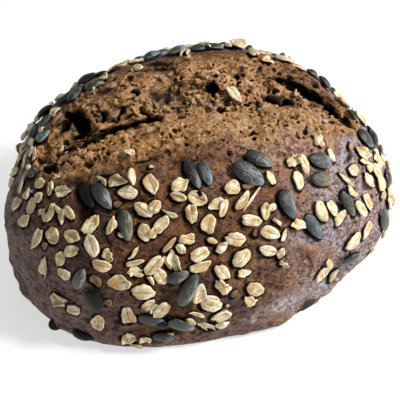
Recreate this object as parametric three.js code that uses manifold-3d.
import * as THREE from 'three';
import { mergeVertices } from 'three/addons/utils/BufferGeometryUtils.js';
import Module from 'manifold-3d';

// A free-standing oval spelt loaf, split open lengthwise along the top.
// Millimetres, +Z up, +X along the loaf, -Y towards the tall seeded front.

// Driving dimensions
const HALF_LENGTH = 90;      // half of the oval along X
const HALF_WIDTH = 77.5;     // half of the oval along Y
const HEIGHT = 106.5;        // crown of the untorn dome
const BELLY = 38.5;          // height of the widest line
const BASE_SHARE = 0.872;    // base width as a share of the widest line
const EDGE_HEIGHT = 6.5;     // height of the rounded bottom edge
const EDGE_SHARE = 0.036;    // how far that rounding pulls the base in
const BASE_LEAN = -0.092;    // the base tucks in further at the +X end
const TUCK = 1.55;           // how sharply the side turns under
const CROWN = 2.02;          // superellipse power of the dome
const CORNER = 2.31;         // superellipse power of the plan
const TAPER = -0.165;        // the +X end is slimmer in plan
const CROWN_SHIFT = 13.5;    // the crown leans towards +X
const END_DROP = -0.052;     // the +X end is lower
const LOBES = [[3, -0.036, -0.034], [4, 0.016, -0.010]]; // slow waves of the plan outline: count, cosine, sine

// The tear along the top
const TEAR = {
  left: 77, right: 77,       // reach along X from the middle
  front: 31, rear: 33,       // half widths in front of and behind its middle line
  middle: -14, slant: 0.09,  // where the middle line runs
  blunt: 3.2, round: 0.6,    // how bluntly it closes at its ends
  trough: 9.5,               // deepest line of the open crumb under the dome
  mound: 1.2,                // the front lip stands a little proud
};

// Narrow crevices that follow the tear: x from, x to, share across the tear at
// both ends, opening, depth, lean towards the rear
const CREVICES = [
  { x0: -74, x1: -15, v0: -0.40, v1: -0.38, open: 3.2, depth: 13, lean: 0.35 },
  { x0: 27, x1: 75, v0: 0.44, v1: -0.24, open: 7.5, depth: 17, lean: 0.85 },
  { x0: 28, x1: 46, v0: -0.12, v1: -0.20, open: 4.5, depth: 11, lean: 0.45 },
];

// Round pits: x, y, radius along X, radius along Y, depth
const PITS = [
  { x: -60, y: -1, rx: 10, ry: 6.5, depth: 11 },
  { x: 6, y: -4, rx: 4.2, ry: 4.2, depth: 9 },
  { x: -3, y: -5, rx: 5, ry: 3, depth: 7 },
  { x: -67, y: -27, rx: 5, ry: 4, depth: 7 },
];

// Hand-shaped unevenness: x, y, z, radius, depth (below 0: a swelling)
const DENTS = [
  [59, -57, 24, 17, 6.4], [80, -41, 33, 12, 0.4], [50, -57, 12, 10, 1.8], [35, -60, 6, 9, -1.6],
  [86, -19, 60, 9, -1.2], [64, 14, 87, 9, 1.6], [17, 36, 99, 14, 1.3], [-25, 38, 95, 17, 2.6],
  [-42, 36, 89, 10, 1.2], [-85, 8, 59, 14, 2.4], [-87, -10, 57, 10, 1.6], [-85, -36, 12, 12, 2.6],
  [-77, -48, 9, 9, 1.6], [57, 22, 90, 7, -0.8], [-62, 29, 80, 8, -0.8],
];

const DETAIL = 18;           // subdivision of the loaf's skin
const UNDERSIDE = 5;         // how far the raw skin runs on below the base before it is cut flat
const HEART = new THREE.Vector3(4, 0, 40);

// A slow wave with named pitch, the same everywhere it is called
function wave(x, y, z, pitch, turn) {
  const k = 2 * Math.PI / pitch;
  return (Math.sin(k * (x + 0.31 * y - 0.22 * z) + turn)
    + Math.sin(k * (0.83 * y + 0.42 * z - 0.37 * x) + 2.1 * turn + 1.3)
    + Math.sin(k * (0.91 * z - 0.48 * y + 0.29 * x) + 3.7 * turn + 2.9)) / 3;
}

// Untorn dome: below 0 inside, above 0 outside
function dome(x, y, z) {
  const lift = Math.min(Math.max(z / HEIGHT, 0), 1.3);
  const xn = (x - CROWN_SHIFT * lift * lift) / HALF_LENGTH;
  const yn = y / (HALF_WIDTH * (1 + TAPER * xn));
  const zn = z / (1 + END_DROP * xn);
  const turn = Math.atan2(yn, xn);
  const c = Math.abs(Math.cos(turn)), s = Math.abs(Math.sin(turn));
  let plan = (c ** CORNER + s ** CORNER) ** (-1 / CORNER);
  let lobes = 1;
  for (const [n, a, b] of LOBES) lobes += a * Math.cos(n * turn) + b * Math.sin(n * turn);
  plan *= lobes;
  const r = Math.hypot(xn, yn) / plan;
  if (zn > BELLY) {
    const w = (zn - BELLY) / (HEIGHT - BELLY);
    return (r ** CROWN + w ** CROWN) ** (1 / CROWN) - 1;
  }
  const share = BASE_SHARE + BASE_LEAN * Math.cos(turn);
  const under = Math.min(Math.max((BELLY - zn) / BELLY, 0), 1);
  const sunk = 1 - Math.min(Math.max(zn / EDGE_HEIGHT, 0), 1);
  const edge = 1 - EDGE_SHARE * (1 - Math.sqrt(1 - sunk * sunk));
  return r / ((1 - (1 - share) * under ** TUCK) * edge) - 1;
}

// Where the tear's middle line runs, and how wide it is there
const tearMiddle = (x) => TEAR.middle + TEAR.slant * x;
function tearOpen(x) {
  const u = Math.abs(x) / (x < 0 ? TEAR.left : TEAR.right);
  return u < 1 ? (1 - u ** TEAR.blunt) ** TEAR.round : 0;
}
const tearY = (x, v) => tearMiddle(x) + v * (v < 0 ? TEAR.front : TEAR.rear) * tearOpen(x);

const smooth = (a, b, t) => {
  const q = Math.min(Math.max((t - a) / (b - a), 0), 1);
  return q * q * (3 - 2 * q);
};

// Depth of the open crumb under the dome at a place in plan
function tearDepth(x, y) {
  const open = tearOpen(x);
  if (open < 0.05) return 0;
  const off = y - tearMiddle(x);
  const v = off / ((off < 0 ? TEAR.front : TEAR.rear) * open);
  if (Math.abs(v) >= 1) return 0;
  const fall = smooth(-0.55, -0.22, v) * (1 - smooth(-0.15, 1.0, v));
  const lip = smooth(-1, -0.8, v) * (1 - smooth(-0.62, -0.38, v));
  const narrow = x > 18 ? 1 - 0.45 * smooth(18, 40, x) : 1 - 0.25 * smooth(-30, -60, x);
  return (TEAR.trough * fall * narrow - TEAR.mound * lip) * smooth(0.05, 0.4, open);
}

// Distance from the heart to the skin along a direction
function reach(d) {
  let near = 0, far = 160;
  for (let i = 0; i < 40; i++) {
    const mid = (near + far) / 2;
    const x = HEART.x + d.x * mid, y = HEART.y + d.y * mid, z = HEART.z + d.z * mid;
    if (z > -UNDERSIDE && dome(x, y, z) < 0) near = mid; else far = mid;
  }
  return near;
}

// Height of the untorn dome above a place in plan
function domeHeight(x, y) {
  let low = BELLY, high = 1.3 * HEIGHT;
  for (let i = 0; i < 40; i++) {
    const mid = (low + high) / 2;
    if (dome(x, y, mid) < 0) low = mid; else high = mid;
  }
  return low;
}

function loafSkin() {
  const geometry = mergeVertices(bare(new THREE.IcosahedronGeometry(1, DETAIL)), 1e-5);
  const p = geometry.getAttribute('position');
  const d = new THREE.Vector3();
  for (let i = 0; i < p.count; i++) {
    d.fromBufferAttribute(p, i).normalize();
    // the skin is finer over the crown than underneath
    const polar = Math.acos(Math.min(Math.max(d.z, -1), 1));
    const drawn = polar - 0.34 * Math.sin(polar);
    const flat = Math.hypot(d.x, d.y) || 1;
    d.set(d.x / flat * Math.sin(drawn), d.y / flat * Math.sin(drawn), Math.cos(drawn));
    let r = reach(d);
    const x = HEART.x + d.x * r, y = HEART.y + d.y * r, z = HEART.z + d.z * r;
    const depth = z > BELLY ? tearDepth(x, y) : 0;
    r -= depth;
    const torn = smooth(0.5, 3, Math.abs(depth));
    const alive = smooth(-2, 12, z);
    r += alive * (0.9 * wave(x, y, z, 47, 0.7) + 0.5 * wave(x, y, z, 21, 2.2));
    for (const [a, b, c, wide, deep] of DENTS) {
      r -= deep * Math.exp(-((x - a) ** 2 + (y - b) ** 2 + (z - c) ** 2) / wide ** 2);
    }
    r += torn * (1.5 * wave(x, y, z, 15, 1.1) + 1.2 * wave(x, y, z, 9.1, 0.4));
    p.setXYZ(i, HEART.x + d.x * r, HEART.y + d.y * r, HEART.z + d.z * r);
  }
  return geometry;
}

// A crevice cutter: a long blade along the tear, closed at both ends
function creviceBlade(c) {
  const geometry = mergeVertices(bare(new THREE.SphereGeometry(1, 10, 18)), 1e-5);
  const p = geometry.getAttribute('position');
  const above = 5;
  for (let i = 0; i < p.count; i++) {
    const along = p.getY(i), across = p.getX(i), down = p.getZ(i);
    const t = (along + 1) / 2;
    const x = c.x0 + (c.x1 - c.x0) * t;
    const v = c.v0 + (c.v1 - c.v0) * t ** 1.5;
    const sway = 1.1 * wave(x, 0, 0, 17, c.open) + 0.6 * wave(x, 0, 0, 7.5, c.depth);
    const y = tearY(x, v) + sway;
    const z = domeHeight(x, y) - tearDepth(x, y);
    const h = down > 0 ? down * above : down * c.depth;
    p.setXYZ(i, x, y + across * c.open / 2 - h * c.lean, z + h - across * c.open * 0.25);
  }
  return geometry;
}

function pitBall(c) {
  const geometry = mergeVertices(bare(new THREE.SphereGeometry(1, 12, 8)), 1e-5);
  const p = geometry.getAttribute('position');
  const z0 = domeHeight(c.x, c.y) - tearDepth(c.x, c.y);
  for (let i = 0; i < p.count; i++) {
    const x = p.getX(i), y = p.getZ(i), z = p.getY(i);
    const rough = 1 + 0.12 * wave(20 * x, 20 * y, 20 * z, 19, c.rx);
    const h = z > 0 ? z * 5 : z * c.depth;
    p.setXYZ(i, c.x + x * c.rx * rough, c.y + y * c.ry * rough - h * 0.35, z0 + h);
  }
  return geometry;
}

function bare(geometry) {
  geometry.deleteAttribute('normal');
  geometry.deleteAttribute('uv');
  return geometry;
}

const wasm = await Module();
wasm.setup();

function solid(geometry) {
  const merged = mergeVertices(geometry, 1e-5);
  const make = (flip) => {
    const index = Uint32Array.from(merged.index.array);
    if (flip) for (let i = 0; i < index.length; i += 3) [index[i + 1], index[i + 2]] = [index[i + 2], index[i + 1]];
    return new wasm.Manifold(new wasm.Mesh({
      numProp: 3,
      vertProperties: Float32Array.from(merged.getAttribute('position').array),
      triVerts: index,
    }));
  };
  const first = make(false);
  return first.volume() > 0 ? first : make(true);
}

let loaf = solid(loafSkin());
for (const c of CREVICES) loaf = loaf.subtract(solid(creviceBlade(c)));
for (const c of PITS) loaf = loaf.subtract(solid(pitBall(c)));

// The base is cut flat
const room = bare(new THREE.BoxGeometry(400, 400, 200));
room.translate(0, 0, 100);
loaf = loaf.intersect(solid(room));

const cut = loaf.getMesh();
const geometry = new THREE.BufferGeometry();
geometry.setAttribute('position', new THREE.BufferAttribute(Float32Array.from(cut.vertProperties), 3));
geometry.setIndex(new THREE.BufferAttribute(Uint32Array.from(cut.triVerts), 1));

// Origin at the middle of the base
geometry.computeBoundingBox();
const box = geometry.boundingBox;
geometry.translate(-(box.min.x + box.max.x) / 2, -(box.min.y + box.max.y) / 2, 0);
geometry.computeVertexNormals();

const crust = new THREE.MeshStandardMaterial({ color: 0x66524a, roughness: 0.62, metalness: 0 });
const mesh = new THREE.Mesh(geometry, crust);
mesh.name = 'loaf';

const group = new THREE.Group();
group.add(mesh);

export default group;
